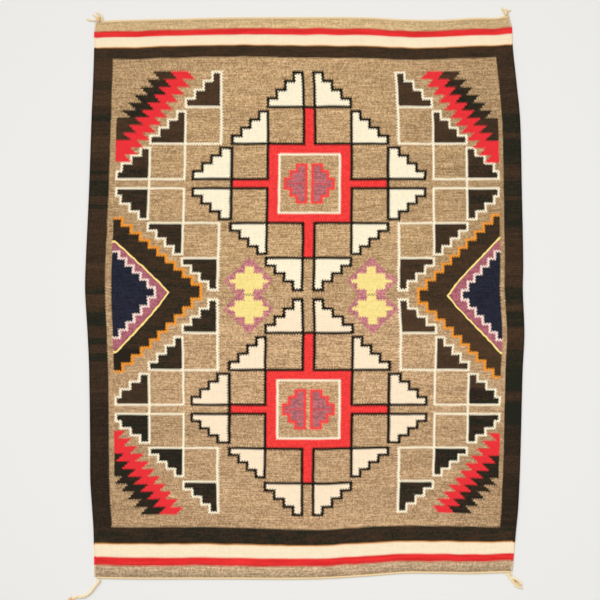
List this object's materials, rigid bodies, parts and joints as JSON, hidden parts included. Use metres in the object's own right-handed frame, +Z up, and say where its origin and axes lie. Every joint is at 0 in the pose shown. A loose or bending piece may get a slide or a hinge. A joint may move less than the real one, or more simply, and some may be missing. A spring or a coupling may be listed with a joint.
{
  "type": "navajo rug",
  "caption": "Flat-woven wool tapestry rug with banded ends, dark side borders, stepped diamonds, twined edge cords and corner tassels, lying flat on a floor.",
  "frame": {"origin": "on the floor under the middle of the web", "axes": "+X across the rug, +Y along its warps towards the upper end, +Z up from the floor"},
  "size_m": [1.2021, 1.5702, 0.0093],
  "materials": {
    "web_wool": "weft-faced handspun wool: heathered tan grey field with black, cream, red, orange, yellow, mauve and navy areas",
    "end_cord_wool": "twined cream wool cord",
    "side_cord_wool": "two-ply wool cord, dark along the border and pale at the ends",
    "tassel_wool": "knotted and frayed cream and golden wool cord ends"
  },
  "bodies": {
    "root": {"web": "web_wool", "end_cord_top": "end_cord_wool", "end_cord_bottom": "end_cord_wool", "side_cord_left": "side_cord_wool", "side_cord_right": "side_cord_wool", "tassel_top_left": "tassel_wool", "tassel_top_right": "tassel_wool", "tassel_bottom_left": "tassel_wool", "tassel_bottom_right": "tassel_wool"}
  },
  "joints": []
}
